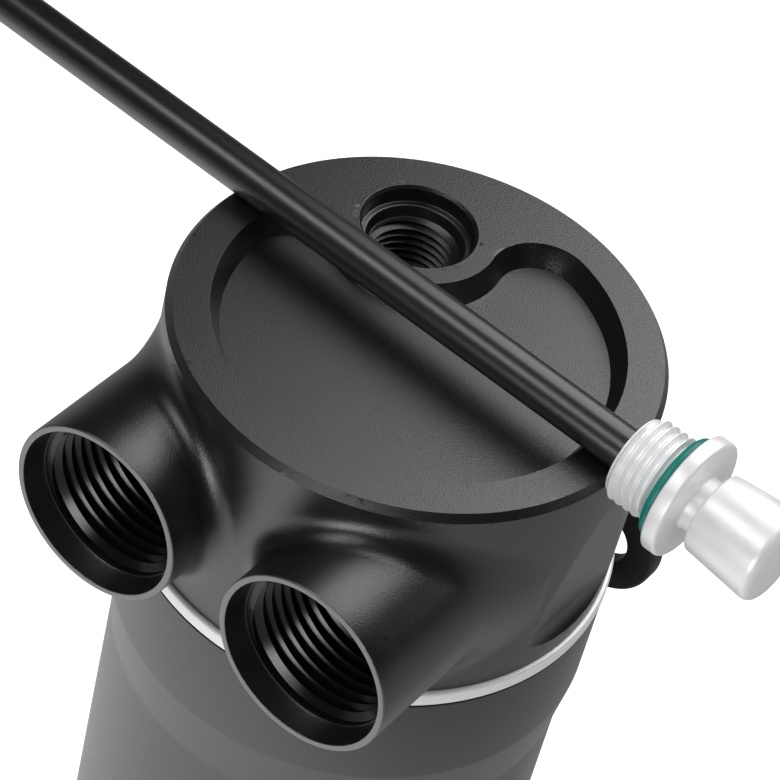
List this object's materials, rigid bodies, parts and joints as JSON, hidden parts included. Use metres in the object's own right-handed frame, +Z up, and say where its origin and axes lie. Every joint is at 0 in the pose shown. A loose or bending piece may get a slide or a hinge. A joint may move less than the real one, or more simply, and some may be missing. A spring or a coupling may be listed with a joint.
{
  "type": "oil catch can",
  "caption": "Cylindrical oil catch can: machined head with two parallel hose ports and a dipstick hole, screwed onto a one-piece reservoir, with a rear bracket.",
  "frame": {"origin": "centre of the base that the can stands on", "axes": "+Z up along the can's axis, -Y out of the two hose ports, +Y towards the bracket"},
  "size_m": [0.199, 0.0827, 0.2112],
  "materials": {
    "black_anodised": "bead-blasted, black anodised",
    "clear_anodised": "turned, clear anodised",
    "teal_seal": "smooth moulded",
    "black_rubber": "smooth moulded",
    "black_powder": "matt black powder coat",
    "stainless": "plain stainless steel",
    "wire_mesh": "knitted wire"
  },
  "bodies": {
    "reservoir": {"reservoir": "black_anodised"},
    "lift_ring": {"trim_ring": "clear_anodised", "head_gasket": "black_rubber"},
    "head": {"head": "black_anodised", "spigot_seal": "black_rubber", "dipstick_rod": "black_anodised", "dipstick_plug": "clear_anodised", "dipstick_seal": "teal_seal", "bracket": "black_powder", "bracket_bolt_1": "stainless", "bracket_bolt_2": "stainless", "bracket_washer_1": "stainless", "bracket_washer_2": "stainless", "upper_baffle": "stainless", "lower_baffle": "stainless", "mesh_pack": "wire_mesh", "down_tube": "clear_anodised", "standoff_1": "stainless", "standoff_2": "stainless", "standoff_3": "stainless", "baffle_screw_1": "stainless", "baffle_screw_2": "stainless", "baffle_screw_3": "stainless"},
    "drain_washer": {"drain_seal": "teal_seal"},
    "drain_plug": {"drain_plug": "clear_anodised"}
  },
  "joints": [
    {"name": "head_lift", "type": "slide", "parent": "reservoir", "child": "lift_ring", "axis": [0, 0, 1], "range_m": [0, 0.0091]},
    {"name": "head_unscrew", "type": "hinge", "parent": "lift_ring", "child": "head", "pos_m": [0, 0, 0.16], "axis": [0, 0, 1], "range_deg": [0, 1620]},
    {"name": "drain_drop", "type": "slide", "parent": "reservoir", "child": "drain_washer", "axis": [0, 0, -1], "range_m": [0, 0.006]},
    {"name": "drain_unscrew", "type": "hinge", "parent": "drain_washer", "child": "drain_plug", "pos_m": [0, 0, 0.004], "axis": [0, 0, -1], "range_deg": [0, 2160]}
  ],
  "couplings": [
    {"joint": "head_lift", "follows": "head_unscrew", "m_per_rad": 0.00031831},
    {"joint": "drain_unscrew", "follows": "drain_drop", "rad_per_m": 6283.2}
  ]
}
